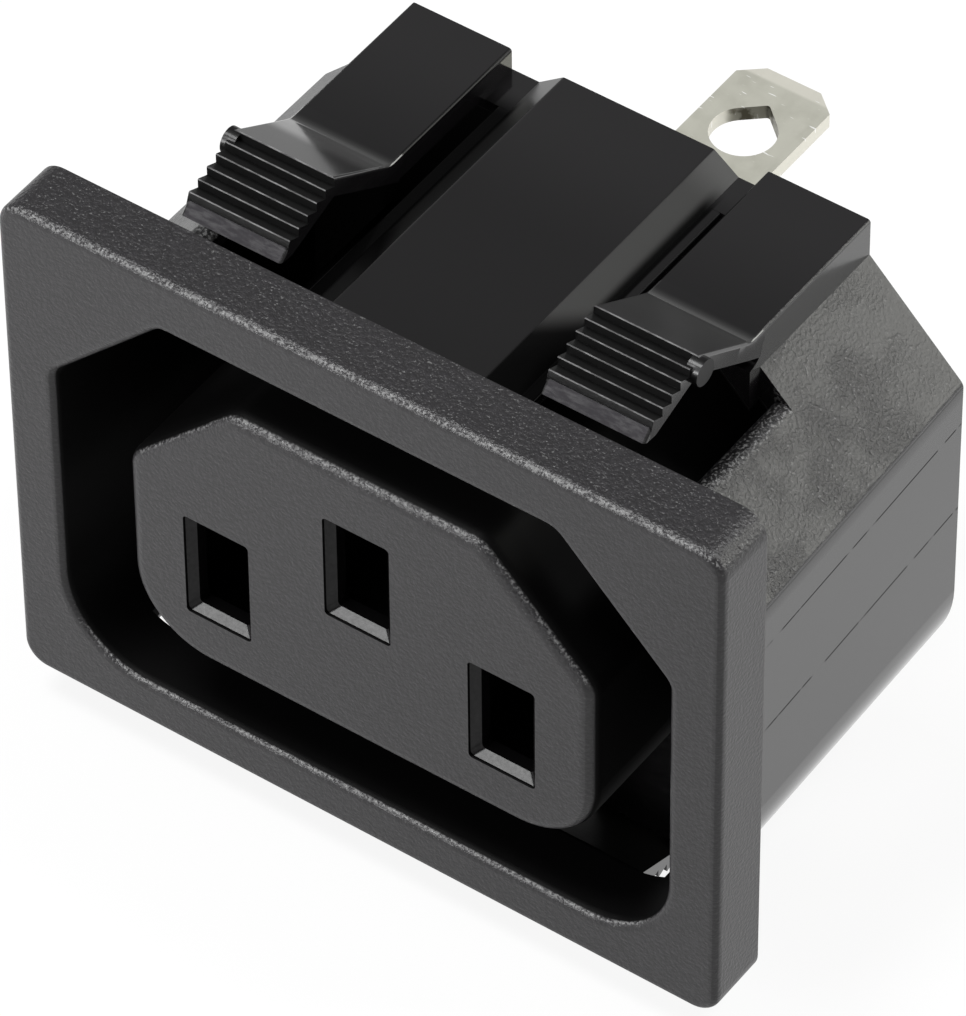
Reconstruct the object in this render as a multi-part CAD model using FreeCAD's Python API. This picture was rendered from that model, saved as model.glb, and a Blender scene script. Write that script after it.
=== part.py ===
import FreeCAD, Part
import math
import os

# Snap-in panel outlet: a female appliance coupler with a flange, four snap leaves and three solder lugs.
# Origin: centre of the flange's back face. +X right, +Y towards the rear, +Z up, millimetres.

# Contact pattern of the coupler
pin_pitch = 14.0             # line to neutral, centre to centre
earth_rise = 4.0             # earth slot above the line and neutral row
row_drop = 2.25              # line and neutral row below the flange's centre
pin_thickness = 2.0
slot_width = 3.25            # at the block's face
slot_height = 5.5
slot_corner_radius = 0.2
slot_rim = 0.15              # straight part in front of the funnel
slot_funnel = 0.28           # depth of the funnel
slot_inset = 0.37            # each side of the funnel draws in by this much
slot_wall = 1.0              # thickness of the block's front wall

# Engagement block
block_side = 4.4             # line or neutral slot's centre to the block's side
block_height = 15.2
block_chamfer = 5.3
block_low_radius = 3.8
block_top_radius = 1.3
block_edge_radius = 0.65

# Well around the block
well_side_gap = 3.5
well_top_gap = 2.7
well_low_gap = 3.1
well_chamfer = 5.4
well_low_radius = 4.0
well_top_radius = 0.9
well_lip_radius = 0.45

# Shroud behind the flange
body_depth = 16.5            # flange's back face to the rear face
rear_wall = 2.0
side_wall = 0.85             # at the rear
side_draft = 0.35            # growth of each side wall from the rear to the flange
top_wall = 1.0
low_wall = 0.8
body_chamfer = 5.41
body_low_radius = 5.6
body_top_radius = 0.5

# Flange
flange_side_cover = 1.3      # beyond the shroud
flange_end_cover = 0.75      # beyond the arms
flange_thickness = 3.0
flange_corner_radius = 1.2
flange_edge_radius = 0.4

# Raised pad along the middle of the top and bottom walls
pad_rise = 0.9
pad_top_width = 7.3
pad_slope_run = 1.2
pad_edge_radius = 0.25

# Fixed arms that carry the snap leaves
slit_width = 1.25            # between the pad's foot and an arm
pad_ledge = 0.1              # wall left beside the pad's foot
arm_width = 4.93             # upper arms
low_arm_width = 4.55         # lower arms, which end near the round corners
arm_rise = 1.1               # above the top wall
arm_thickness = 1.3
arm_edge_radius = 0.15
bridge_length = 2.1          # wall left whole behind the slits
notch_side_gap = 0.55        # free space outside an upper leaf
low_notch_side_gap = 2.1     # free space outside a lower leaf
notch_back_gap = 0.65        # free space behind the crease, beside the arm
notch_edge_radius = 0.6

# Snap leaf, seen from the side and measured from its tip
tip_gap = 0.85               # flange's back face to the tip
lip_length = 0.625           # tip in front of the first ridge
lip_drop = 0.8               # tip below the first ridge
lip_step_depth = 0.15        # lip's upper edge in front of the first ridge
lip_step_height = 0.34       # lip's upper edge below the first ridge
lip_thickness = 0.55
leaf_thickness = 0.85
tooth_count = 5
tooth_pitch = 0.605
tooth_drop = 0.21            # each ridge below the one behind it
tooth_depth = 0.45
ridge_flat = 0.04
ramp_run = 3.65              # highest ridge to the crease
ramp_rise = 2.2              # highest ridge above the arm
crease_radius = 1.2          # hollow between the ramp and the arm
pip_radius = 0.6             # round pip on the leaf's outer side
pip_drop = 0.75              # pip's centre below the highest ridge
pip_length = 0.3             # beyond the leaf's side
root_top_angle = 60.0        # upper end of the round root, from the level plane
root_low_angle = 42.0
root_clearance = 0.012

# Female contacts, each folded from one sheet
sheet = 0.7
bend_radius = 0.25           # inside of a fold
channel_side = 0.525         # channel's outside beyond the slot's side
channel_length = 5.0
channel_setback = 2.5        # channel's end in front of the rear face
web_clearance = 0.1          # inside of the web beyond the slot's end
leg_inset = 0.65             # free edge of a leg inside the slot's other end
grip_inset = 1.15            # grip's edge beside the web inside the slot's end
grip_preload = 0.3           # throat narrower than the pin
throat_depth = 7.0           # inside of the block's front wall to the throat
mouth_gap = 2.8
mouth_clearance = 4.0        # grips' front ends behind the block's front wall
chamber_side_gap = 0.1
chamber_web_gap = 0.05
chamber_leg_gap = 0.15       # beyond the slot's end
tongue_width = 1.4
tongue_slit = 0.2            # cut round the retaining tongue
tongue_setback = 1.6         # channel's front end to the tongue's root
tongue_length = 2.0
tongue_lift = 0.5
tongue_pocket_gap = 0.15

# Solder lugs
lug_width = 4.65
lug_chamfer_side = 1.0
lug_chamfer_end = 0.85
eye_radius = 1.45
eye_to_end = 3.75            # from the round part's centre
eye_nose_length = 1.88       # round part's centre to the eye's narrow end
eye_nose_radius = 0.15
earth_lug_length = 11.35     # beyond the rear face
line_lug_length = 9.6

# Places that follow from the sizes above
block_width = pin_pitch + 2 * block_side
well_width = block_width + 2 * well_side_gap
well_top = block_height / 2 + well_top_gap
well_low = block_height / 2 + well_low_gap
body_width = well_width + 2 * side_wall
body_top = well_top + top_wall
body_low = well_low + low_wall
sill = block_height / 2                                   # how far in the openings reach
front_y = -flange_thickness
well_floor = body_depth - rear_wall
pad_foot_width = pad_top_width + 2 * pad_slope_run
window_inner = pad_foot_width / 2 + pad_ledge
arm_inner = window_inner + slit_width
arm_top = body_top + arm_rise
arm_bottom = arm_top - arm_thickness
slit_end = body_depth - bridge_length
chamfer_sum = body_width / 2 - body_chamfer + body_top    # x + z on the outer chamfer
flange_width = body_width + 2 * (side_draft + flange_side_cover)
flange_height = 2 * (arm_top + flange_end_cover)
last_back = tip_gap + lip_length
peak_back = last_back + tooth_count * tooth_pitch
peak_top = arm_top + ramp_rise
last_top = peak_top - tooth_count * tooth_drop
lip_back = last_back - lip_step_depth
lip_top = last_top - lip_step_height
tip_top = last_top - lip_drop
crease_back = peak_back + ramp_run
ramp_turn = math.atan2(ramp_rise, ramp_run)
crease_reach = crease_radius * math.tan(ramp_turn / 2)    # length of the hollow along the arm
notch_back = crease_back + notch_back_gap
root_top_turn = math.radians(root_top_angle)
root_low_turn = math.radians(root_low_angle)
root_radius = arm_thickness / (math.sin(root_top_turn) + math.sin(root_low_turn))
root_y = crease_back + crease_reach - root_radius * math.cos(root_top_turn)
root_z = arm_top - root_radius * math.sin(root_top_turn)
channel_half = slot_width / 2 + channel_side
channel_back = body_depth - channel_setback
channel_front = channel_back - channel_length
web_low = slot_height / 2 + web_clearance                 # from the pin's centre
web_top = web_low + sheet
leg_drop = slot_height / 2 - leg_inset
grip_rise = slot_height / 2 - grip_inset
chamber_front = front_y + slot_wall
tongue_front = channel_front + tongue_setback
tongue_back = tongue_front + tongue_length
far = flange_width + body_depth                           # longer than any cut needs
tolerance = 1e-3                                          # below this two places count as one


def V(x, y, z):
    return FreeCAD.Vector(x, y, z)


# Places for flat outlines: across the depth, along the depth and level
def across(y):
    return lambda u, v: V(u, y, v)


def along(x):
    return lambda u, v: V(x, u, v)


def level(z):
    return lambda u, v: V(u, v, z)


# Closed outline with its own corner radius at each point
def rounded_wire(points, radii, place):
    count = len(points)
    starts, ends, middles = [], [], []
    for i in range(count):
        here = V(points[i][0], points[i][1], 0)
        before = V(points[i - 1][0], points[i - 1][1], 0)
        after = V(points[(i + 1) % count][0], points[(i + 1) % count][1], 0)
        back = (before - here).normalize()
        ahead = (after - here).normalize()
        half = back.getAngle(ahead) / 2
        reach = radii[i] / math.tan(half)
        bisector = (back + ahead).normalize() if radii[i] else V(0, 0, 0)
        starts.append(here + back * reach)
        ends.append(here + ahead * reach)
        middles.append(here + bisector * (radii[i] / math.sin(half) - radii[i]))
    edges = []
    for i in range(count):
        if radii[i]:
            corner = [place(p.x, p.y) for p in (starts[i], middles[i], ends[i])]
            edges.append(Part.Arc(*corner).toShape())
        tail, head = ends[i], starts[(i + 1) % count]
        if (head - tail).Length > tolerance:
            edges.append(Part.makeLine(place(tail.x, tail.y), place(head.x, head.y)))
    return Part.Wire(edges)


def prism(points, radii, place, sweep):
    return Part.Face(rounded_wire(points, radii, place)).extrude(sweep)


def box(x0, x1, y0, y1, z0, z1):
    return Part.makeBox(x1 - x0, y1 - y0, z1 - z0, V(x0, y0, z0))


# The coupler's outline: two slanted upper corners and two round lower ones
def shield(width, top, low, chamfer, low_radius, top_radius, y):
    w = width / 2
    right = [(w, -low), (w, top - chamfer), (w - chamfer, top)]
    points = right + [(-x, z) for x, z in reversed(right)]
    radii = [low_radius] + [top_radius] * 4 + [low_radius]
    return rounded_wire(points, radii, across(y))


def well_solid(y0, y1):
    wire = shield(well_width, well_top, well_low, well_chamfer, well_low_radius, well_top_radius, y0)
    return Part.Face(wire).extrude(V(0, y1 - y0, 0))


# Edges in the front plane, either inside the well's outline or outside it
def front_edges(shape, in_well):
    found = []
    for edge in shape.Edges:
        b = edge.BoundBox
        if b.YMax > front_y + tolerance:
            continue
        inside = max(abs(b.XMin), abs(b.XMax)) < well_width / 2 + tolerance
        if inside == in_well:
            found.append(edge)
    return found


# The line a-b moved to its left by a distance, as two points
def offset_line(a, b, distance):
    run = math.hypot(b[0] - a[0], b[1] - a[1])
    n = (-(b[1] - a[1]) / run * distance, (b[0] - a[0]) / run * distance)
    return (a[0] + n[0], a[1] + n[1]), (b[0] + n[0], b[1] + n[1])


# The point where two lines cross
def meet(first, second):
    (ax, ay), (bx, by) = first
    (cx, cy), (dx, dy) = second
    ux, uy, vx, vy = bx - ax, by - ay, dx - cx, dy - cy
    s = ((cx - ax) * vy - (cy - ay) * vx) / (ux * vy - uy * vx)
    return ax + ux * s, ay + uy * s


# A strip of sheet bent along a path: its outline and the radius of each corner
def strip_outline(path, thickness, inside_radius):
    sides = []
    for sign in (1, -1):
        lines = [offset_line(path[i], path[i + 1], sign * thickness / 2) for i in range(len(path) - 1)]
        inner = [meet(lines[i], lines[i + 1]) for i in range(len(lines) - 1)]
        sides.append([lines[0][0]] + inner + [lines[-1][1]])
    radii = []
    for i in range(1, len(path) - 1):
        (ax, ay), (bx, by), (cx, cy) = path[i - 1:i + 2]
        turns_left = (bx - ax) * (cy - by) - (by - ay) * (cx - bx) > 0
        pair = (inside_radius, inside_radius + thickness)
        radii.append(pair if turns_left else pair[::-1])
    left = [0] + [r[0] for r in radii] + [0]
    right = [0] + [r[1] for r in radii] + [0]
    return sides[0] + sides[1][::-1], left + right[::-1]


def both_sides(shape):
    return [shape, shape.mirror(V(0, 0, 0), V(1, 0, 0))]


def upside_down(shape):
    return shape.mirror(V(0, 0, 0), V(0, 0, 1))


# A feature of the upper right corner and its lower form, each repeated on the left
def all_corners(upper, lower):
    return both_sides(upper) + both_sides(upside_down(lower))


def merge(shapes):
    return shapes[0].multiFuse(shapes[1:]).removeSplitter()


# True for an edge's box that lies on a side of the leaf, along the ramp, its crease or the lip
def is_soft_side(b):
    beside_ramp = b.YMin > peak_back - tolerance and b.ZMin > arm_top - tolerance
    beside_lip = b.YMax < lip_back + tolerance and b.ZMin > tip_top - tolerance
    return b.XLength < tolerance and (beside_ramp or beside_lip)


# Snap leaf: hollow crease, ramp, row of ridges, lip, side pip, and a round root that turns in its arm's end
def snap_leaf(width):
    seam = (crease_back + crease_reach, arm_top)
    crease = (crease_back, arm_top)
    peak = (peak_back, peak_top)
    ramp_way = (-math.cos(ramp_turn), math.sin(ramp_turn))
    ramp_foot = (crease[0] + crease_reach * ramp_way[0], crease[1] + crease_reach * ramp_way[1])
    hollow = (seam[0] - crease_radius * math.sin(ramp_turn / 2),
              arm_top + crease_radius * (1 - math.cos(ramp_turn / 2)))
    last = (last_back, last_top)
    last_front = (last_back - ridge_flat, last_top - ridge_flat)
    lip = (lip_back, lip_top)
    tip = (tip_gap, tip_top)
    teeth = []
    for i in range(tooth_count):
        y, z = peak_back - i * tooth_pitch, peak_top - i * tooth_drop
        teeth += [(y, z), (y - ridge_flat, z - ridge_flat), (y - ridge_flat, z - tooth_depth)]
    below_ridges = offset_line(peak, last, leaf_thickness)
    below_ramp = offset_line(crease, peak, leaf_thickness)
    tip_back = meet(below_ridges, offset_line(lip, tip, lip_thickness))
    apex = meet(below_ridges, below_ramp)
    heel = below_ramp[0]
    root_low_y = root_y + root_radius * math.cos(root_low_turn)
    root_low = (root_low_y, root_z - root_radius * math.sin(root_low_turn))
    chain = [ramp_foot] + teeth + [last, last_front, lip, tip, tip_back, apex, heel, root_low]
    place = along(arm_inner)
    edges = [Part.makeLine(place(*a), place(*b)) for a, b in zip(chain, chain[1:])]
    edges.append(Part.Arc(place(*root_low), place(root_y + root_radius, root_z), place(*seam)).toShape())
    edges.append(Part.Arc(place(*seam), place(*hollow), place(*ramp_foot)).toShape())
    leaf = Part.Face(Part.Wire(edges)).extrude(V(width, 0, 0))
    leaf = leaf.makeFillet(arm_edge_radius, [e for e in leaf.Edges if is_soft_side(e.BoundBox)])
    pip_start = V(arm_inner + width - pip_length, peak_back, peak_top - pip_drop)
    pip = Part.makeCylinder(pip_radius, 2 * pip_length, pip_start, V(1, 0, 0))
    return leaf.fuse(pip).removeSplitter()


# Teardrop eye of a lug, its round part's centre at a depth: two arcs joined by straight sides
def eye_shape(y, z, height):
    nose_y = y + eye_nose_length - eye_nose_radius
    lean = math.asin((eye_radius - eye_nose_radius) / (nose_y - y))

    def at(radius, centre, turn):
        return V(radius * math.cos(turn), centre + radius * math.sin(turn), z)

    right, back, left, front = lean, math.pi / 2, math.pi - lean, -math.pi / 2
    edges = [Part.Arc(*[at(eye_radius, y, turn) for turn in (left, front, right)]).toShape(),
             Part.makeLine(at(eye_radius, y, right), at(eye_nose_radius, nose_y, right)),
             Part.Arc(*[at(eye_nose_radius, nose_y, turn) for turn in (right, back, left)]).toShape(),
             Part.makeLine(at(eye_nose_radius, nose_y, left), at(eye_radius, y, left))]
    return Part.Face(Part.Wire(edges)).extrude(V(0, 0, height))


# A contact about its pin's centre, web above: channel, grips, retaining tongue and lug
def contact_shape(lug_length):
    fold = bend_radius + sheet
    mid = channel_half - sheet / 2
    web_mid = web_low + sheet / 2
    section = [(-mid, -leg_drop), (-mid, web_mid), (mid, web_mid), (mid, -leg_drop)]
    channel_outline = strip_outline(section, sheet, bend_radius)
    channel = prism(*channel_outline, across(channel_front), V(0, channel_length, 0))

    end = body_depth + lug_length
    half = lug_width / 2
    right = [(channel_half - fold, channel_front), (channel_half - fold, channel_back),
             (channel_half, channel_back), (channel_half, body_depth), (half, body_depth),
             (half, end - lug_chamfer_end), (half - lug_chamfer_side, end)]
    outline = right + [(-x, y) for x, y in reversed(right)]
    plate = prism(outline, [0] * len(outline), level(web_low), V(0, 0, sheet))
    eye = eye_shape(end - eye_to_end, web_low - sheet, web_top - web_low + 2 * sheet)

    opening = tongue_width / 2 + tongue_slit
    slit = box(-opening, opening, tongue_front, tongue_back + tongue_slit, web_low - sheet, web_top + sheet)
    tongue_end = (tongue_back, web_mid + tongue_lift)
    tongue_path = [(tongue_front - sheet, web_mid), (tongue_front, web_mid), tongue_end]
    tongue_place = along(-tongue_width / 2)
    tongue = prism(*strip_outline(tongue_path, sheet, sheet), tongue_place, V(tongue_width, 0, 0))

    throat_x = (pin_thickness - grip_preload + sheet) / 2
    mouth_x = (mouth_gap + sheet) / 2
    grip_path = [(mid, channel_front + sheet), (mid, channel_front), (throat_x, chamber_front + throat_depth),
                 (mouth_x, chamber_front + mouth_clearance)]
    grip = prism(*strip_outline(grip_path, sheet, sheet), level(-leg_drop), V(0, 0, leg_drop + grip_rise))

    folded = merge([channel, plate] + both_sides(grip))
    return folded.cut(eye).cut(slit).fuse(tongue).removeSplitter()


def slot_wire(inset, y):
    w, h = slot_width / 2 - inset, slot_height / 2 - inset
    return rounded_wire([(-w, -h), (w, -h), (w, h), (-w, h)], [slot_corner_radius] * 4, across(y))


# The space in the block for one contact, open at the rear, with its funnelled slot and the tongue's pocket
def chamber_shape():
    half = channel_half + chamber_side_gap
    low = -slot_height / 2 - chamber_leg_gap
    room = box(-half, half, chamber_front, body_depth + rear_wall, low, web_top + chamber_web_gap)
    funnel_front = front_y + slot_rim
    sections = [slot_wire(0, front_y - slot_wall), slot_wire(0, funnel_front),
                slot_wire(slot_inset, funnel_front + slot_funnel),
                slot_wire(slot_inset, chamber_front + slot_wall)]
    slot = Part.makeLoft(sections, True, True)
    pocket_half = tongue_width / 2 + tongue_slit
    pocket_top = web_top + tongue_lift + tongue_pocket_gap
    pocket = box(-pocket_half, pocket_half, tongue_front, tongue_back + tongue_pocket_gap, 0, pocket_top)
    return merge([room, slot, pocket])


# Turns a contact half round for a web that faces down, then puts it at its pin's centre
def placed(shape, x, z, web_faces_up):
    turned = shape.copy()
    if not web_faces_up:
        turned.rotate(V(0, 0, 0), V(0, 1, 0), 180)
    turned.translate(V(x, 0, z))
    return turned


def flange_plate():
    w, h = flange_width / 2, flange_height / 2
    corners = [(-w, -h), (w, -h), (w, h), (-w, h)]
    plate = prism(corners, [flange_corner_radius] * 4, across(front_y), V(0, flange_thickness, 0))
    plate = plate.makeFillet(flange_edge_radius, front_edges(plate, False))
    plate = plate.cut(well_solid(2 * front_y, flange_thickness))
    return plate.makeFillet(well_lip_radius, front_edges(plate, True))


def arm_shape(width):
    outer = arm_inner + width
    corners = [(arm_inner, sill), (outer, sill), (outer, arm_top), (arm_inner, arm_top)]
    return prism(corners, [0, 0, arm_edge_radius, arm_edge_radius], across(0), V(0, body_depth, 0))


# Drafted walls with the raised pads and arms, hollowed by the well; the round lower corners follow the draft
def shroud():
    front_width = body_width + 2 * side_draft
    front_chamfer = body_chamfer + side_draft
    straight_low = body_low - body_low_radius
    front = shield(front_width, body_top, straight_low, front_chamfer, 0, body_top_radius, 0)
    rear = shield(body_width, body_top, straight_low, body_chamfer, 0, body_top_radius, body_depth)
    walls = Part.makeLoft([front, rear], True, True)
    side = front_width / 2
    below = [(-side_draft, -body_low), (side, -body_low)]
    quarter = below + [(side, -straight_low), (-side_draft, -straight_low)]
    low_corner = prism(quarter, [0, body_low_radius, 0, 0], across(-body_depth), V(0, 3 * body_depth, 0))
    low_corner.rotate(V(side, 0, 0), V(0, 0, 1), math.degrees(math.atan2(side_draft, body_depth)))
    low_corner = low_corner.common(box(-far, far, 0, body_depth, -far, far))
    foot, top = pad_foot_width / 2, pad_top_width / 2
    right = [(foot, 0), (foot, body_top), (top, body_top + pad_rise)]
    outline = right + [(-x, z) for x, z in reversed(right)]
    pad = prism(outline, [0, 0, pad_edge_radius, pad_edge_radius, 0, 0], across(0), V(0, body_depth, 0))
    arms = all_corners(arm_shape(arm_width), arm_shape(low_arm_width))
    solid = merge([walls, pad, upside_down(pad)] + both_sides(low_corner) + arms)
    return solid.cut(well_solid(front_y, well_floor))


# What is cut away for one leaf: window, notch outside the leaf, slit and hollow under the arm, and round seat
def leaf_openings(width, side_gap):
    outer = arm_inner + width
    window = box(window_inner, outer + side_gap, 0, root_y, sill, far)
    notch = box(outer, outer + side_gap, 0, notch_back, sill, far)
    hollow_outer = chamfer_sum - arm_bottom - top_wall * math.sqrt(2)
    under = [(window_inner, sill), (hollow_outer, sill), (hollow_outer, arm_bottom), (arm_inner, arm_bottom),
             (arm_inner, far), (window_inner, far)]
    slit = prism(under, [0, 0, 0, arm_edge_radius, 0, 0], across(0), V(0, slit_end, 0))
    seat_start = V(window_inner, root_y, root_z)
    seat = Part.makeCylinder(root_radius + root_clearance, outer - window_inner, seat_start, V(1, 0, 0))
    return merge([window, notch, slit, seat])


# Edges along the depth that start at a point of the outline, on either side
def edges_at(shape, x, z):
    return [e for e in shape.Edges if all(math.hypot(abs(v.X) - x, v.Z - z) < tolerance for v in e.Vertexes)]


def engagement_block():
    half = block_height / 2
    wire = shield(block_width, half, half, block_chamfer, block_low_radius, block_top_radius, front_y)
    block = Part.Face(wire).extrude(V(0, well_floor - front_y, 0))
    return block.makeFillet(block_edge_radius, front_edges(block, True))


def housing(places):
    walls = shroud()
    upper_opening = leaf_openings(arm_width, notch_side_gap)
    lower_opening = leaf_openings(low_arm_width, low_notch_side_gap)
    for opening in all_corners(upper_opening, lower_opening):
        walls = walls.cut(opening)
    notch_edge = arm_inner + arm_width + notch_side_gap
    walls = walls.makeFillet(notch_edge_radius, edges_at(walls, notch_edge, chamfer_sum - notch_edge))
    solid = merge([flange_plate(), walls, engagement_block()])
    room = chamber_shape()
    for x, z, web_faces_up, lug_length in places:
        solid = solid.cut(placed(room, x, z, web_faces_up))
    return solid.removeSplitter()


# Each contact: its pin's centre, the way its web faces and the length of its lug
contacts = {
    "contact_earth": (0.0, earth_rise - row_drop, True, earth_lug_length),
    "contact_line": (-pin_pitch / 2, -row_drop, False, line_lug_length),
    "contact_neutral": (pin_pitch / 2, -row_drop, False, line_lug_length),
}

nodes = {"housing": housing(contacts.values())}
leaf_names = ("top_right", "top_left", "bottom_right", "bottom_left")
for corner, leaf in zip(leaf_names, all_corners(snap_leaf(arm_width), snap_leaf(low_arm_width))):
    nodes["snap_leaf_" + corner] = leaf
for name, (x, z, web_faces_up, lug_length) in contacts.items():
    nodes[name] = placed(contact_shape(lug_length), x, z, web_faces_up)

os.makedirs("parts", exist_ok=True)
for name, shape in nodes.items():
    solid = shape.Solids[0] if len(shape.Solids) == 1 else shape
    solid.exportStep("parts/" + name + ".step")
    print(name, "solids", len(shape.Solids), "volume", round(shape.Volume, 2), "valid", shape.isValid())
print("leaf root", round(root_y, 4), round(root_z, 4))
print("flange", round(flange_width, 2), round(flange_height, 2))
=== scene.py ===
import math
import bmesh
import bpy
import numpy as np
from mathutils import Matrix, Vector


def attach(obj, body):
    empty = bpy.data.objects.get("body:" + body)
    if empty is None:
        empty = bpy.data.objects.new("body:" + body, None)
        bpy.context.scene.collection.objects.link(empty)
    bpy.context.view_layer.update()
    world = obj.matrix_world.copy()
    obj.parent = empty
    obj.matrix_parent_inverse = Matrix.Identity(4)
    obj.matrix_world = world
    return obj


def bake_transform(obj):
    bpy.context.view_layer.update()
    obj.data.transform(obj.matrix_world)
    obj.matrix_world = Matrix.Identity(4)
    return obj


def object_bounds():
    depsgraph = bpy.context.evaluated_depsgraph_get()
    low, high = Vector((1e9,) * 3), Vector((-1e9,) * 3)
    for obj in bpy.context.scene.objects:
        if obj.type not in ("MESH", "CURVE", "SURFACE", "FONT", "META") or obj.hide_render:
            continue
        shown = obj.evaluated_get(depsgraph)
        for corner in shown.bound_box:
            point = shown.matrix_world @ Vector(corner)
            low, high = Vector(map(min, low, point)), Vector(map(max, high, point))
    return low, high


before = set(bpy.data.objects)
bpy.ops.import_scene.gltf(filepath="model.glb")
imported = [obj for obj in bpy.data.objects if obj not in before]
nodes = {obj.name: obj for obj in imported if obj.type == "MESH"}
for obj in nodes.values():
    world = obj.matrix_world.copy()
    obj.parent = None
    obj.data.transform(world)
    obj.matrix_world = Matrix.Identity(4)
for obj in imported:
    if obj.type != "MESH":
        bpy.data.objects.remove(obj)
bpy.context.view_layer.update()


class Value:  # a node's output that takes part in Python sums
    def __init__(self, graph, socket):
        self.graph, self.socket = graph, socket

    def sums(self, operation, first, second):
        return self.graph.add("Math", {"operation": operation}, {0: first, 1: second})

    def __add__(self, other): return self.sums("ADD", self, other)
    def __sub__(self, other): return self.sums("SUBTRACT", self, other)
    def __rsub__(self, other): return self.sums("SUBTRACT", other, self)
    def __mul__(self, other): return self.sums("MULTIPLY", self, other)
    __radd__ = __add__
    __rmul__ = __mul__

    def __abs__(self): return self.sums("ABSOLUTE", self, 0.0)

    def least(self, other): return self.sums("MINIMUM", self, other)
    def most(self, other): return self.sums("MAXIMUM", self, other)


class Graph:  # the node tree of one finish
    def __init__(self, tree):
        self.tree = tree
        tree.nodes.clear()

    def add(self, kind, settings, sockets, out=0):
        node = self.tree.nodes.new("ShaderNode" + kind)
        for key, value in settings.items():
            setattr(node, key, value)
        for key, value in sockets.items():
            if isinstance(value, Value):
                self.tree.links.new(value.socket, node.inputs[key])
            else:
                node.inputs[key].default_value = value
        return Value(self, node.outputs[out]) if node.outputs else None

    def ramp(self, value, low, high):  # 0 below low, 1 above high, smooth between
        return self.add("MapRange", {"interpolation_type": "SMOOTHSTEP"}, {0: value, 1: low, 2: high})

    def fade(self, value, low, high):  # 1 below low, 0 above high
        return 1 - self.ramp(value, low, high)

    def between(self, value, rise, fall):  # 1 from the end of rise to the start of fall
        return self.ramp(value, *rise) * self.fade(value, *fall)

    def blend(self, amount, first, second):  # colours mixed by an amount
        return self.add("Mix", {"data_type": "RGBA"}, {0: amount, 6: first, 7: second}, 2)

    def noise(self, place, scale, detail, roughness=0.5):
        return self.add("TexNoise", {}, {
            "Vector": place, "Scale": scale, "Detail": detail, "Roughness": roughness})

    def stretched(self, place, scale):  # coordinates scaled apart along each axis
        return self.add("Mapping", {}, {"Vector": place, "Scale": scale})

    def parts(self, vector):
        return [self.add("SeparateXYZ", {}, {0: vector}, i) for i in range(3)]

    def places(self):  # a point in millimetres, whole and in parts, and the parts of its normal
        mm = self.add("VectorMath", {"operation": "SCALE"}, {
            0: self.add("TexCoord", {}, {}, "Object"), "Scale": 1000.0})
        return mm, self.parts(mm), self.parts(self.add("TexCoord", {}, {}, "Normal"))

    def bump(self, height):  # a normal from a height in metres
        return self.add("Bump", {}, {"Strength": 1.0, "Distance": 1.0, "Height": height})

    def surface(self, shader):
        self.add("OutputMaterial", {}, {"Surface": shader})


def newFinish(name):
    material = bpy.data.materials.new(name)
    material.use_nodes = True
    return material, Graph(material.node_tree)


def grey(level):
    return (level, level, level, 1.0)


def paint(piece, material):
    piece.data.materials.clear()
    piece.data.materials.append(material)


def gridPiece(name, points, turned=False, smooth=True):  # a sheet through a grid of points
    rows, columns = points.shape[:2]
    first = (np.arange(rows - 1)[:, None] * columns + np.arange(columns - 1)).ravel()
    faces = np.stack([first, first + 1, first + columns + 1, first + columns], 1)
    mesh = bpy.data.meshes.new(name)
    mesh.from_pydata(points.reshape(-1, 3).tolist(), [], (faces[:, ::-1] if turned else faces).tolist())
    mesh.polygons.foreach_set("use_smooth", np.full(len(mesh.polygons), smooth))
    piece = bpy.data.objects.new(name, mesh)
    bpy.context.scene.collection.objects.link(piece)
    return piece


# Camera at the photograph's place, from the fit of the flange's edges
view = {"target": (0.001666, 0.003302, 0.001660), "distance": 0.34988,
        "azimuth": 35.839, "elevation": 45.712, "roll": -0.589, "lens": 310.9, "sensor": 36.0}


def addCamera():
    az, el, roll = (math.radians(view[key]) for key in ("azimuth", "elevation", "roll"))
    ahead = Vector((-math.sin(az) * math.cos(el), math.cos(az) * math.cos(el), -math.sin(el)))
    level = Vector((math.cos(az), math.sin(az), 0))
    upright = level.cross(ahead)
    right = level * math.cos(roll) + upright * math.sin(roll)
    up = upright * math.cos(roll) - level * math.sin(roll)
    place = Vector(view["target"]) - ahead * view["distance"]
    camera = bpy.data.objects.new("camera", bpy.data.cameras.new("camera"))
    camera.data.lens = view["lens"]
    camera.data.sensor_fit = "VERTICAL"
    camera.data.sensor_height = view["sensor"]
    rows = [[right[i], up[i], -ahead[i], place[i]] for i in range(3)] + [[0, 0, 0, 1]]
    camera.matrix_world = Matrix(rows)
    bpy.context.scene.collection.objects.link(camera)
    bpy.context.scene.camera = camera


addCamera()
print("camera placed")

# Black moulding compound of the housing and the leaves; a pair of numbers is where a change starts and ends
moulding = {
    "colour": (0.0052, 0.0048, 0.0053, 1.0), "void": 0.0015, "ior": 1.5, "mattRoughness": 0.28,
    "polishedRoughness": 0.11, "cloudScale": 0.8, "cloudRoughness": 0.05, "coat": 0.6, "coatRoughness": 0.09,
    "topFacing": (0.95, 0.99), "topRun": (8.0, 15.0), "topShadeAmount": 0.25}


# the dull share mixed in here is mostly painted shade; the wall marks' share is real
def plastic(g, colour, roughness, normal, coat, dull):  # the compound's skin, mixed with dead black
    skin = g.add("BsdfPrincipled", {}, {
        "Base Color": colour, "Roughness": roughness, "Normal": normal, "Coat Weight": coat,
        "Coat Roughness": moulding["coatRoughness"], "IOR": moulding["ior"]})
    void = g.add("BsdfDiffuse", {}, {"Color": grey(moulding["void"])})
    g.surface(g.add("MixShader", {}, {0: dull, 1: skin, 2: void}))


def polish(g, mm):  # roughness of the polished skin, a little cloudy
    cloud = g.noise(mm, moulding["cloudScale"], 2.0)
    return moulding["polishedRoughness"] + moulding["cloudRoughness"] * cloud


# painted shade on the flat tops at the front, none at the rear
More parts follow.
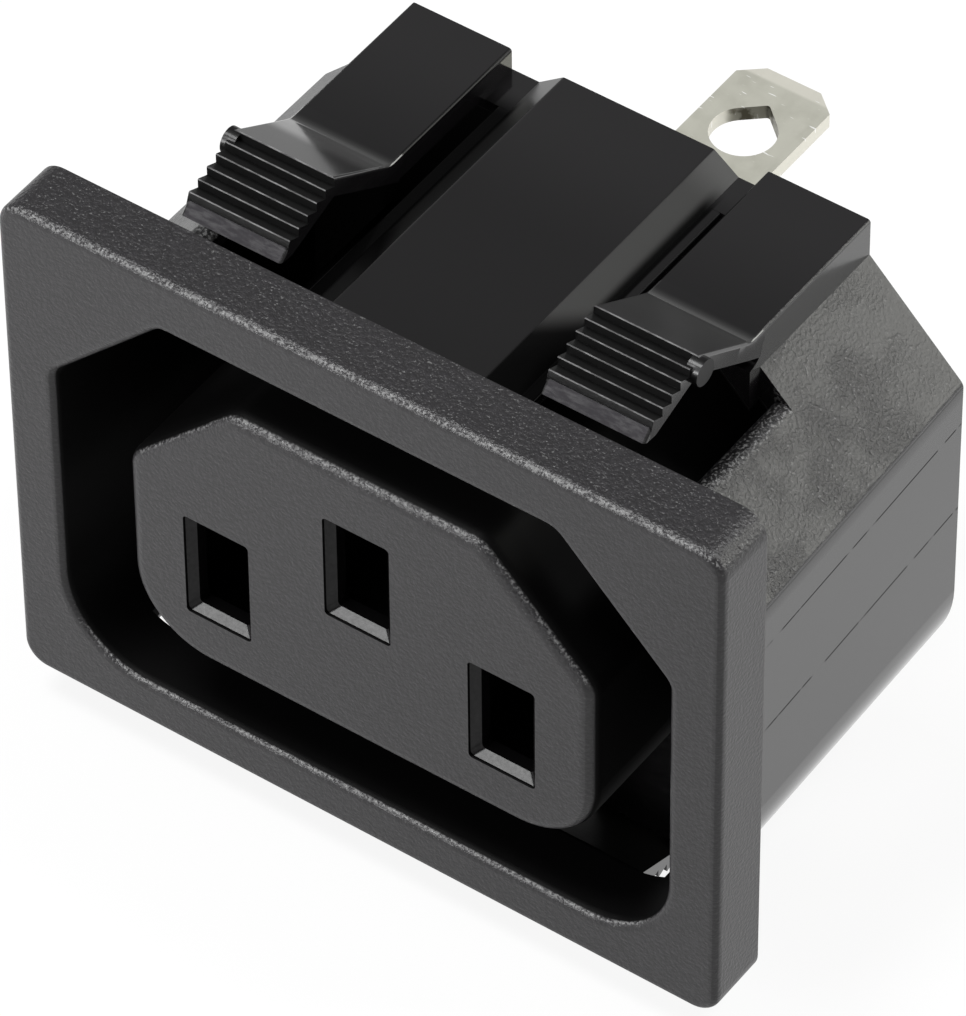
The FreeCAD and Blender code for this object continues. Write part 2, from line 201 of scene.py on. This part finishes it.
def topShade(g, y, nz):  # dulls the flat tops at the front, none at the rear
    return g.ramp(nz, *moulding["topFacing"]) * g.fade(y, *moulding["topRun"]) * moulding["topShadeAmount"]


# Where the housing's features lie, in millimetres, x and z measured from the middle and y from the flange's back
shell = {
    "slots": ((0.0, 1.75), (-7.0, -2.25), (7.0, -2.25)), "slotHalf": (1.68, 2.80), "slotEdge": 0.04,
    "blockFace": (-2.96, -2.90), "flangeEnd": (-0.02, 0.02), "behindFlange": (0.0, 0.1),
    "rimSide": (16.5, 16.7), "rimTop": (12.2, 12.4),
    "wellSide": (14.95, 15.05), "wellTop": (10.75, 10.85), "wellSlant": (19.9, 20.0), "wellEnd": (16.3, 16.4),
    "notchSide": ((11.70, 11.95), (12.6, 12.8)), "notchFloor": (8.6, 8.8), "notchEnd": (8.75, 8.85),
    "gutterSide": ((3.6, 3.7), (6.0, 6.1)), "gutterTop": (10.9, 11.1),
    "slantStart": (7.0, 8.0), "wallStart": (14.5, 15.0), "wallFace": (15.0, 15.2),
    "armOuter": ((10.9, 11.0), (11.3, 11.4)), "armRise": (10.0, 10.4), "armInner": (6.10, 6.18),
    "armFootSide": (6.22, 6.30), "armFootTop": ((10.9, 11.0), (11.17, 11.22)),
    "armEdgeSide": (6.32, 6.40), "armEdgeTop": (12.20, 12.26)}


def slotMask(g, x, y, z):  # 1 on the funnels of the three slots, behind the block's face
    halfWidth, halfHeight = shell["slotHalf"]
    inside = 0.0
    for slotX, slotZ in shell["slots"]:
        across = g.ramp(halfWidth - abs(x - slotX), 0.0, shell["slotEdge"])
        upright = g.ramp(halfHeight - abs(z - slotZ), 0.0, shell["slotEdge"])
        inside = across * upright + inside
    return inside * g.ramp(y, *shell["blockFace"])


def wellMask(g, x, y, z):  # 1 inside the shroud's walls, up to the rear face
    return (g.fade(abs(x), *shell["wellSide"]) * g.fade(abs(z), *shell["wellTop"])
            * g.fade(abs(x) + z, *shell["wellSlant"]) * g.fade(y, *shell["wellEnd"]))


def notchMask(g, x, y, z):  # 1 on the rounded outer edges of the upper notches
    return (g.between(abs(x), *shell["notchSide"]) * g.ramp(z, *shell["notchFloor"])
            * g.between(y, shell["behindFlange"], shell["notchEnd"]))


def gutterMask(g, x, y, z):  # 1 from the pads' edges to the arms, outside the top and bottom walls
    return (g.between(abs(x), *shell["gutterSide"]) * g.ramp(abs(z), *shell["gutterTop"])
            * g.ramp(y, *shell["behindFlange"]))


# Two fine broken lines along the right wall, either side of a middle line that rises to the rear
marks = {"middle": 0.82, "rise": 0.0303, "spread": 2.4, "half": 0.030, "start": (2.0, 2.6),
         "breakStretch": (0.0, 1.0, 0.2), "breakScale": 0.9, "breaks": (0.36, 0.44), "dull": 0.75}


def wallMarks(g, x, y, z, mm):
    off = abs(z - y * marks["rise"] - marks["middle"]) - marks["spread"]
    line = g.fade(abs(off), marks["half"], 2 * marks["half"])
    breaks = g.noise(g.stretched(mm, marks["breakStretch"]), marks["breakScale"], 2.0)
    broken = g.ramp(breaks, *marks["breaks"])
    return line * broken * g.ramp(x, *shell["wallFace"]) * g.ramp(y, *marks["start"]) * marks["dull"]


# Soft upper edge of the side walls: below it the wall turns in over a short reach, on a large radius
wallEdge = {"height": 5.333, "rise": 0.0212, "reach": 0.7, "radius": 6.0, "facing": (0.95, 0.98)}


def wallTurn(g, x, y, z, nx):  # fall of the surface in metres, height above the start squared over twice the radius
    above = (z - y * wallEdge["rise"] - (wallEdge["height"] - wallEdge["reach"])).most(0.0)
    fall = above * above * (0.0005 / wallEdge["radius"])
    return (fall * g.ramp(abs(x), *shell["wallFace"]) * g.ramp(y, *shell["behindFlange"])
            * g.ramp(abs(nx), *wallEdge["facing"]))


# Finish of the housing: spark-eroded on the flange and the block's face, granular on the outer slants, matt on the
# pads' slopes with painted light and shadow, painted shade in the well, polished elsewhere; painted glints,
# highlights and shade on edges
housing = {
    "dust": (0.0208, 0.0196, 0.0216, 1.0),
    "erodedRoughness": 0.36, "erodedDust": 0.5, "grain": 6.5, "grainDepth": 0.000060, "faceGrain": 0.50,
    "sparkle": 8.0, "glintSpeck": 0.10, "edgeShine": 0.16,
    "faceShade": 0.20, "faceLean": 0.8, "faceRun": (-22.0, 22.0), "cornerShade": 0.35,
    "slantRoughness": 0.32, "slantDust": 0.62, "ripple": 6.0, "rippleDepth": 0.000062,
    "patchScale": 0.45, "patchLow": 0.55, "rippleEnd": (11.0, 18.0), "rippleLoss": 0.8,
    "glint": 0.10, "edgeGlint": 0.14,
    "slopePaintedLight": (0.0065, 0.040), "slopeLightEnd": (14.0, 16.3),
    "frontShadow": 0.93, "frontRun": (4.6, 6.6), "frontLean": 1.8, "frontMiddle": 4.25,
    "footShadow": 0.93, "footRun": (4.42, 4.75), "footEnd": (14.0, 15.6), "ledgeStart": (5.0, 5.1), "ledgeShine": 0.6,
    "armSidePaintedLight": 0.042, "armFootHighlight": 0.06, "armEdgeShade": 0.70,
    "deepRoughness": 0.55, "wellShade": 0.80, "sideCoat": 0.2,
    "funnelRoughness": 0.24, "funnelShade": 0.63, "funnelLow": 0.8, "funnelGrain": 0.4}
# Where a part of the normal starts to count and counts in full
facing = {
    "eroded": (0.45, 0.65), "tilted": (0.30, 0.40), "wall": (0.8, 0.9), "level": (0.15, 0.45), "glintSpeck": (0.0, 0.5),
    "armEdge": (0.93, 0.99), "front": (0.80, 0.90), "turned": ((0.40, 0.55), (0.70, 0.85)), "turnedUp": (0.4, 0.6),
    "corner": ((0.25, 0.45), (0.85, 0.95)), "cornerUp": (0.3, 0.5)}
# The same for a noise
cut = {
    "patch": (0.38, 0.58), "dust": (0.4, 0.7), "glintSpeck": (0.66, 0.74), "edgeShine": (0.42, 0.60),
    "glint": (0.62, 0.70), "edgeGlint": (0.52, 0.66)}


def housingBlack():
    material, g = newFinish("housingBlack")
    mm, (x, y, z), (nx, ny, nz) = g.places()
    ahead = 0 - ny
    # areas
    inWell = wellMask(g, x, y, z)
    funnel = slotMask(g, x, y, z)
    rim = g.ramp(abs(x), *shell["rimSide"]).most(g.ramp(abs(z), *shell["rimTop"]))
    eroded = g.fade(y, *shell["flangeEnd"]) * rim.most(g.ramp(ahead, *facing["eroded"])) * (1 - funnel)
    tilted = g.ramp(abs(nx) * nz, *facing["tilted"]) * (1 - eroded) * (1 - inWell)
    outer = g.ramp(abs(x), *shell["slantStart"])
    band = notchMask(g, x, y, z)
    slant = (tilted * outer).most(band)
    matt = tilted * (1 - outer)
    deep = inWell * (1 - eroded) * (1 - funnel)
    polished = (1 - eroded) * (1 - slant) * (1 - matt) * (1 - deep) * (1 - funnel)
    wall = g.ramp(abs(nx), *facing["wall"])
    side = wall * g.ramp(abs(x), *shell["wallStart"])
    armSide = wall * g.between(abs(x), *shell["armOuter"]) * g.ramp(z, *shell["armRise"])
    inner = g.ramp(abs(x), *shell["armInner"]) * g.ramp(y, *shell["behindFlange"])
    armFoot = wall * inner * g.fade(abs(x), *shell["armFootSide"]) * g.between(abs(z), *shell["armFootTop"])
    armEdge = (inner * g.fade(abs(x), *shell["armEdgeSide"]) * g.ramp(abs(z), *shell["armEdgeTop"])
               * g.fade(abs(nz), *facing["armEdge"]))
    # grain, ripple and the walls' soft edges
    fine = g.noise(mm, housing["grain"], 2.0)
    sparkle = g.noise(mm, housing["sparkle"], 1.0)
    ripple = g.noise(mm, housing["ripple"], 3.0, 0.55)
    patches = g.ramp(g.noise(mm, housing["patchScale"], 1.0), *cut["patch"])
    patchy = housing["patchLow"] + (1 - housing["patchLow"]) * patches
    settled = (patchy * (1 - housing["rippleLoss"] * g.ramp(y, *housing["rippleEnd"]))).most(band)
    faced = housing["faceGrain"] + (1 - housing["faceGrain"]) * g.ramp(abs(nz), *facing["level"])
    height = fine * eroded * faced * housing["grainDepth"]
    height = height + ripple * slant * settled * housing["rippleDepth"]
    normal = g.bump(height - wallTurn(g, x, y, z, nx))
    roughness = (eroded * housing["erodedRoughness"] + slant * housing["slantRoughness"]
                 + matt * moulding["mattRoughness"] + deep * housing["deepRoughness"]
                 + funnel * housing["funnelRoughness"] + polished * polish(g, mm))
    # dust, painted light on the arms' outer sides, painted highlights on edges, painted glints on tops and slants
    dust = (housing["erodedDust"] + (1 - housing["erodedDust"]) * g.ramp(fine, *cut["dust"])) * eroded
    dust = dust + g.ramp(ripple, *cut["dust"]) * slant * housing["slantDust"]
    front = g.ramp(y - housing["frontLean"] * (abs(x) - housing["frontMiddle"]), *housing["frontRun"])
    middle, rear = (grey(level) for level in housing["slopePaintedLight"])
    turned = g.between(ahead, *facing["turned"]) * g.ramp(nz, *facing["turnedUp"])
    colour = g.blend(dust, moulding["colour"], housing["dust"])
    # painted light on the pads' slopes: brighter towards the rear, none at the front
    colour = g.blend(matt * front, colour, g.blend(g.ramp(y, *housing["slopeLightEnd"]), middle, rear))
    # painted light on the arms' outer sides, painted highlights on the arms' lower inner edges and on eroded edges
    # that turn up, painted glints on the eroded tops, the outer slants and the notches' edges
    spread = {
        "armSidePaintedLight": armSide, "armFootHighlight": armFoot,
        "glintSpeck": g.ramp(sparkle, *cut["glintSpeck"]) * eroded * g.ramp(abs(nz), *facing["glintSpeck"]),
        "edgeShine": g.ramp(sparkle, *cut["edgeShine"]) * eroded * turned,
        "glint": g.ramp(ripple, *cut["glint"]) * slant * settled,
        "edgeGlint": g.ramp(sparkle, *cut["edgeGlint"]) * band}
    for key, mask in spread.items():
        colour = g.blend(mask, colour, grey(housing[key]))
    coat = polished * (1 - armSide) * (moulding["coat"] + side * (housing["sideCoat"] - moulding["coat"]))
    # painted shade and shadow
    # painted shadow along the foot of each pad's slope, less on the right ledges' outer part, and painted shade
    # over the slopes' and ledges' fronts
    foot = g.ramp(abs(x), *housing["footRun"]) * g.fade(y, *housing["footEnd"])
    foot = foot * (1 - housing["ledgeShine"] * g.ramp(x, *housing["ledgeStart"]))
    shaded = ((1 - front) * housing["frontShadow"]).most(foot * housing["footShadow"]) * gutterMask(g, x, y, z)
    # painted shade: the eroded front faces darker towards the lower right, the vertical fillets beside them darker
    face = g.ramp(ahead, *facing["front"]) * g.ramp(x - housing["faceLean"] * z, *housing["faceRun"])
    corner = g.between(nx, *facing["corner"]) * g.fade(abs(nz), *facing["cornerUp"])
    # painted shade in the well, in the slots' funnels and over the arms' inner top edges; the wall marks are real
    dull = (deep * housing["wellShade"]).most(wallMarks(g, x, y, z, mm)).most(shaded)
    dull = dull.most(funnel * housing["funnelShade"] * (housing["funnelLow"] + housing["funnelGrain"] * fine))
    dull = dull.most(polished * topShade(g, y, nz)).most(armEdge * housing["armEdgeShade"])
    dull = dull.most(eroded * (face * housing["faceShade"]).most(corner * housing["cornerShade"]))
    plastic(g, colour, roughness, normal, coat, dull)
    return material


# Finish of the leaves: polished, with painted highlights along the crests of the ridges, painted shade in the
# grooves and a scuffed lip; painted light on the ramps and hollows, painted shade on the ramps; pairs are the left
# and the right leaf
leaf = {
    "crestHighlight": (0.045, 0.17), "crestStart": (1.36, 1.40), "grooveRun": ((1.30, 1.34), (4.47, 4.49)),
    "grooveDust": 0.008, "grooveShade": 0.35, "grooveDepth": 0.000004, "lipEnd": (1.28, 1.32), "lipDust": 0.045,
    "pipStart": (11.15, 11.18), "pipDull": 0.35,
    "rampStart": (4.45, 4.55), "rampRun": (4.6, 7.9), "rampPaintedLight": (0.026, 0.046), "rampRoughness": 0.30,
    "rampShade": (0.50, 0.45), "leftEnd": (6.2, 7.2),
    "hollowRun": ((7.70, 8.05), (8.15, 8.60)), "hollowPaintedLight": (0.028, 0.035),
    "acrossFacing": (0.4, 0.6), "upFacing": (0.6, 0.7), "crestFacing": (0.5, 0.6), "rampFacing": (0.40, 0.48),
    "wearStretch": (1.6, 6.0, 6.0), "crestHighlightBreaks": (0.35, 0.70), "lipWear": (0.35, 0.75)}


def leafBlack():
    material, g = newFinish("leafBlack")
    mm, (x, y, z), (nx, ny, nz) = g.places()
    across = g.fade(abs(nx), *leaf["acrossFacing"])
    upward = g.ramp(nz, *leaf["upFacing"])
    right = g.ramp(x, 0.0, 1.0)
    # areas
    crestHighlight = g.ramp(0 - ny, *leaf["crestFacing"]) * g.ramp(abs(nz), *leaf["crestFacing"])
    crestHighlight = crestHighlight * g.ramp(y, *leaf["crestStart"]) * across
    groove = g.between(y, *leaf["grooveRun"]) * across * (1 - crestHighlight)
    lip = g.fade(y, *leaf["lipEnd"]) * across
    pip = g.ramp(abs(x), *leaf["pipStart"])
    plain = (1 - crestHighlight) * (1 - groove) * (1 - pip)
    ramp = g.ramp(ny, *leaf["rampFacing"]) * upward * g.ramp(y, *leaf["rampStart"])
    rightRamp = ramp * right
    leftRamp = ramp * (1 - right) * g.fade(y, *leaf["leftEnd"])
    hollow = g.between(y, *leaf["hollowRun"]) * upward
    # dust, scuffs on the lip, painted highlights on the crests and painted light on the ramps and hollows
    worn = g.noise(g.stretched(mm, leaf["wearStretch"]), 1.0, 3.0, 0.6)
    low, high = (grey(level) for level in leaf["crestHighlight"])
    colour = g.blend(groove, moulding["colour"], grey(leaf["grooveDust"]))
    # painted highlights on the crests of the ridges, broken by noise
    colour = g.blend(crestHighlight, colour, g.blend(g.ramp(worn, *leaf["crestHighlightBreaks"]), low, high))
    colour = g.blend(lip * g.ramp(worn, *leaf["lipWear"]), colour, grey(leaf["lipDust"]))
    # painted light on the ramps, brighter towards the rear, and in the hollow of each crease
    for mask, key in ((ramp * g.ramp(y, *leaf["rampRun"]), "rampPaintedLight"), (hollow, "hollowPaintedLight")):
        onLeft, onRight = (grey(level) for level in leaf[key])
        colour = g.blend(mask, colour, g.blend(right, onLeft, onRight))
    smooth = polish(g, mm) + rightRamp * (leaf["rampRoughness"] - moulding["polishedRoughness"])
    roughness = (1 - plain) * moulding["mattRoughness"] + plain * smooth
    normal = g.bump(worn * groove * leaf["grooveDepth"])
    # painted shade in the grooves, on the ramps and on the flat tops at the front; the pips dulled
    leftShade, rightShade = leaf["rampShade"]
    dull = (groove * leaf["grooveShade"]).most(pip * leaf["pipDull"])
    dull = dull.most(rightRamp * rightShade).most(leftRamp * leftShade).most(plain * topShade(g, y, nz))
    plastic(g, colour, roughness, normal, plain * (1 - rightRamp) * moulding["coat"], dull)
    return material


# Tin plate on the contacts, dulled a little by handling, paler on the lugs' coined ends and sides; the far wall of
# each eye is sheared metal, darkened by painted shade
tin = {
    "colour": (0.60, 0.596, 0.52, 1.0), "dull": (0.53, 0.526, 0.455, 1.0), "coined": (0.74, 0.725, 0.645, 1.0),
    "shearedAndShaded": (0.10, 0.09, 0.06, 1.0), "scratch": (0.95, 0.95, 0.92, 1.0),
    "metal": 0.65, "roughness": 0.38, "rolledRoughness": 0.15, "dent": 0.000004, "rolledDent": 0.5,
    "cloudScale": 0.9, "cloudCut": (0.35, 0.75), "rolledStretch": (6.0, 0.5, 6.0), "rolledScale": 2.0,
    "scratchStretch": (0.6, 5.0, 1.0), "scratchScale": 1.7, "scratchCut": (0.70, 0.73),
    "spotScale": 1.6, "spotCut": (0.45, 0.60), "spotLow": 0.6,
    "pitch": 7.0, "earthExtra": 1.75, "eyeHalf": (1.45, 1.55), "eyeRun": ((19.0, 19.5), (25.0, 25.2)),
    "eyeFacing": (0.35, 0.65), "endStart": (25.40, 25.60), "lugStart": (16.5, 16.6), "sideFacing": (0.8, 0.9)}


def tinPlate():
    material, g = newFinish("tinPlate")
    mm, (x, y, z), (nx, ny, nz) = g.places()
    cloud = g.noise(mm, tin["cloudScale"], 3.0)
    rolled = g.noise(g.stretched(mm, tin["rolledStretch"]), tin["rolledScale"], 4.0, 0.6)
    lines = g.noise(g.stretched(mm, tin["scratchStretch"]), tin["scratchScale"], 1.0)
    spots = g.ramp(g.noise(mm, tin["spotScale"], 3.0), *tin["spotCut"])
    offAxis = abs(x).least(abs(abs(x) - tin["pitch"]))
    along = y - g.ramp(z, 0.0, 1.0) * tin["earthExtra"]  # the earth lug is longer than the other two
    eyeStart, eyeEnd = tin["eyeRun"]
    eye = g.fade(offAxis, *tin["eyeHalf"]) * g.ramp(0 - ny, *tin["eyeFacing"])
    eye = eye * g.ramp(y, *eyeStart) * g.fade(along, *eyeEnd)
    sides = g.ramp(abs(nx), *tin["sideFacing"]) * g.ramp(y, *tin["lugStart"])
    colour = g.blend(g.ramp(cloud, *tin["cloudCut"]), tin["colour"], tin["dull"])
    colour = g.blend(g.ramp(along, *tin["endStart"]).most(sides), colour, tin["coined"])
    colour = g.blend(g.ramp(lines, *tin["scratchCut"]), colour, tin["scratch"])
    # painted shade on the far wall of each eye, over sheared metal
    colour = g.blend(eye * (tin["spotLow"] + (1 - tin["spotLow"]) * spots), colour, tin["shearedAndShaded"])
    normal = g.bump((cloud + rolled * tin["rolledDent"]) * tin["dent"])
    g.surface(g.add("BsdfPrincipled", {}, {
        "Base Color": colour, "Metallic": tin["metal"], "Normal": normal,
        "Roughness": tin["roughness"] + tin["rolledRoughness"] * rolled}))
    return material


housingFinish = housingBlack()
leafFinish = leafBlack()
tinFinish = tinPlate()
for name, node in nodes.items():
    if name.startswith("contact"):
        paint(node, tinFinish)
    else:
        paint(node, housingFinish if name == "housing" else leafFinish)
print("finishes on", len(nodes), "nodes")

# Skin over the crease of each leaf, where the real moulding runs on from the arm: a profile of arm, hollow and
# ramp, carried across the leaf and a little way down its sides, in millimetres
crease = {
    "seam": 8.4837, "top": 12.4, "radius": 1.2, "rise": 2.2, "run": 3.65, "lift": 0.008, "sunk": 0.002,
    "armLap": (0.70, 0.02), "rampLap": (-0.05, -0.60), "armRows": 6, "arcRows": 13, "rampRows": 4,
    "inner": 6.2, "outer": {"top": 11.13, "bottom": 10.75}, "edge": 0.15, "edgeSteps": 7, "sideFrom": 0.045,
    "sideDrop": 0.70, "bendStart": 8.75, "bendEnd": 8.20}


def runOn(arm, arc, ramp):  # one value for each row: over the arm, round the arc and up the ramp
    counts = (crease["armRows"], crease["arcRows"], crease["rampRows"])
    return np.concatenate([np.linspace(*ends, count) for ends, count in zip((arm, arc, ramp), counts)])[:, None]


def creaseSkin(level, side):
    # along: flat on the arm, then the arc about a centre above the seam, then straight up the ramp; both ends of
    # the skin dip into the solids
    full, lifted, sunk = math.atan2(crease["rise"], crease["run"]), crease["lift"], -crease["sunk"]
    turn = runOn((0, 0), (0, full), (full, full))
    lap = runOn(crease["armLap"], (0, 0), crease["rampLap"])
    lift = runOn((sunk, lifted), (lifted, lifted), (lifted, sunk))
    lead, rise = np.sin(turn), np.cos(turn)  # the surface's normal, towards the rear and up
    depth = crease["seam"] - crease["radius"] * lead + lap * rise
    height = crease["top"] + crease["radius"] * (1 - rise) - lap * lead
    # across: up one side, a quarter round, over the top, a quarter round, down the other side
    inner, outer, edge, down = crease["inner"], crease["outer"][level], crease["edge"], [crease["sideDrop"]]
    quarter = np.linspace(0, math.pi / 2, crease["edgeSteps"])
    shortFirst, shortLast = edge * (1 - np.cos(quarter)), edge * (1 - np.sin(quarter))
    x = np.concatenate([[inner], inner + shortFirst, outer - shortLast, [outer]])
    drop = np.concatenate([down, shortLast, shortFirst, down])
    out = np.where(x < (inner + outer) / 2, -1, 1) * (drop > crease["sideFrom"]) * lift
    sink = drop - lift
    up = 1 if level == "top" else -1
    points = np.stack([side * (x + out), depth - lead * sink, up * (height - rise * sink)], 2) / 1000
    name = level + ("_right" if side > 0 else "_left")
    piece = gridPiece("creaseSkin_" + name, points, side * up > 0)
    paint(piece, leafFinish)
    "snap_leaf_" + name
    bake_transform(piece)


# Narrow ledge along each slit, beside the pad's foot: a closed profile with a rounded upper edge, carried from the
# flange to the slit's end and sunk into the wall on three sides, in millimetres
ledge = {"inner": 4.88, "outer": 5.42, "top": 11.29, "bottom": 10.75, "edge": 0.10, "edgeSteps": 5,
         "front": -0.1, "rear": 14.5, "weld": 0.0001}


def slitLedge(level, side):
    inner, outer, top, bottom = (ledge[key] for key in ("inner", "outer", "top", "bottom"))
    quarter = np.linspace(0, math.pi / 2, ledge["edgeSteps"])
    across = np.concatenate([[inner], outer - ledge["edge"] * (1 - np.sin(quarter)), [outer, inner, inner]])
    height = np.concatenate([[top], top - ledge["edge"] * (1 - np.cos(quarter)), [bottom, bottom, top]])
    full = np.array([0, 1, 1, 0])[:, None]  # the end rows close on the profile's middle
    x = across.mean() + (across - across.mean()) * full
    z = height.mean() + (height - height.mean()) * full
    along = np.repeat([ledge["front"], ledge["rear"]], 2)[:, None]
    up = 1 if level == "top" else -1
    points = np.stack([side * x, np.broadcast_to(along, x.shape), up * z], 2) / 1000
    name = "slitLedge_" + level + ("_right" if side > 0 else "_left")
    piece = gridPiece(name, points, side * up < 0, smooth=False)
    welded = bmesh.new()
    welded.from_mesh(piece.data)
    bmesh.ops.remove_doubles(welded, verts=welded.verts, dist=ledge["weld"] / 1000)
    welded.to_mesh(piece.data)
    welded.free()
    paint(piece, housingFinish)
    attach(piece, "outlet")


for makePiece in (creaseSkin, slitLedge):
    for level in ("top", "bottom"):
        for side in (-1, 1):
            makePiece(level, side)
print("skins over 4 creases, ledges along 4 slits")

# Pale floor under the leaves, white to the camera apart from a trace of the shadow, and a dim white sky
studio = {"half": 1.5, "lines": 9, "drop": 0.0002, "white": 0.92, "shadowKept": 0.12, "sky": 0.28}


def addFloor():  # a flat square grid, just below the lowest leaf
    span = np.linspace(-studio["half"], studio["half"], studio["lines"])
    x, y = np.meshgrid(span, span)
    low = np.full(x.shape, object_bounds()[0][2] - studio["drop"])
    floor = gridPiece("floor", np.stack([x, y, low], 2), smooth=False)
    material, g = newFinish("paleFloor")
    seen = g.add("LightPath", {}, {}, "Is Camera Ray")
    for ray in ("Is Glossy Ray", "Is Transmission Ray"):
        seen = seen.most(g.add("LightPath", {}, {}, ray))
    matt = g.add("BsdfDiffuse", {}, {"Color": grey(studio["white"])})
    lit = g.add("Emission", {}, {"Color": grey(1.0), "Strength": 1.0})
    g.surface(g.add("MixShader", {}, {0: seen * (1 - studio["shadowKept"]), 1: matt, 2: lit}))
    paint(floor, material)


# Soft boxes: a low bright one and a dim haze at the front left, one overhead, a small bright one and a low one at
# the rear right
lamps = {
    "frontBox": {"place": (-0.33, -0.69, 0.25), "size": (0.28, 0.20), "glow": 20.0, "colour": (1.0, 1.0, 1.0)},
    "hazeBox": {"place": (-0.357, -0.609, 0.505), "size": (0.50, 0.26), "glow": 0.5, "colour": (0.93, 0.86, 1.0)},
    "topBox": {"place": (-0.24, -0.12, 0.75), "size": (0.28, 0.28), "glow": 18.0, "colour": (1.0, 1.0, 1.0)},
    "glintBox": {"place": (0.36, 0.24, 0.67), "size": (0.16, 0.16), "glow": 30.0, "colour": (1.0, 1.0, 1.0)},
    "rearBox": {"place": (0.54, 0.44, 0.195), "size": (0.36, 0.40), "glow": 5.2, "colour": (1.0, 1.0, 0.95)}}


def addLamp(name, place, size, glow, colour):
    lamp = bpy.data.lights.new(name, "AREA")
    lamp.shape, lamp.size, lamp.size_y, lamp.color = "RECTANGLE", size[0], size[1], colour
    lamp.energy = glow * math.pi * size[0] * size[1]  # watts that give the box this brightness
    holder = bpy.data.objects.new(name, lamp)
    towards = -Vector(place)
    holder.matrix_world = Matrix.Translation(place) @ towards.to_track_quat("-Z", "Y").to_matrix().to_4x4()
    bpy.context.scene.collection.objects.link(holder)


def addWorld():
    world = bpy.data.worlds.new("sky")
    world.use_nodes = True
    g = Graph(world.node_tree)
    seen = g.add("LightPath", {}, {}, "Is Camera Ray")
    strength = seen * (1.0 - studio["sky"]) + studio["sky"]
    light = g.add("Background", {}, {"Color": grey(1.0), "Strength": strength})
    g.add("OutputWorld", {}, {"Surface": light})
    bpy.context.scene.world = world


addFloor()
addWorld()
for name, lamp in lamps.items():
    addLamp(name, **lamp)
print("floor, sky and lamps set")

bpy.context.scene.view_settings.view_transform = "Standard"
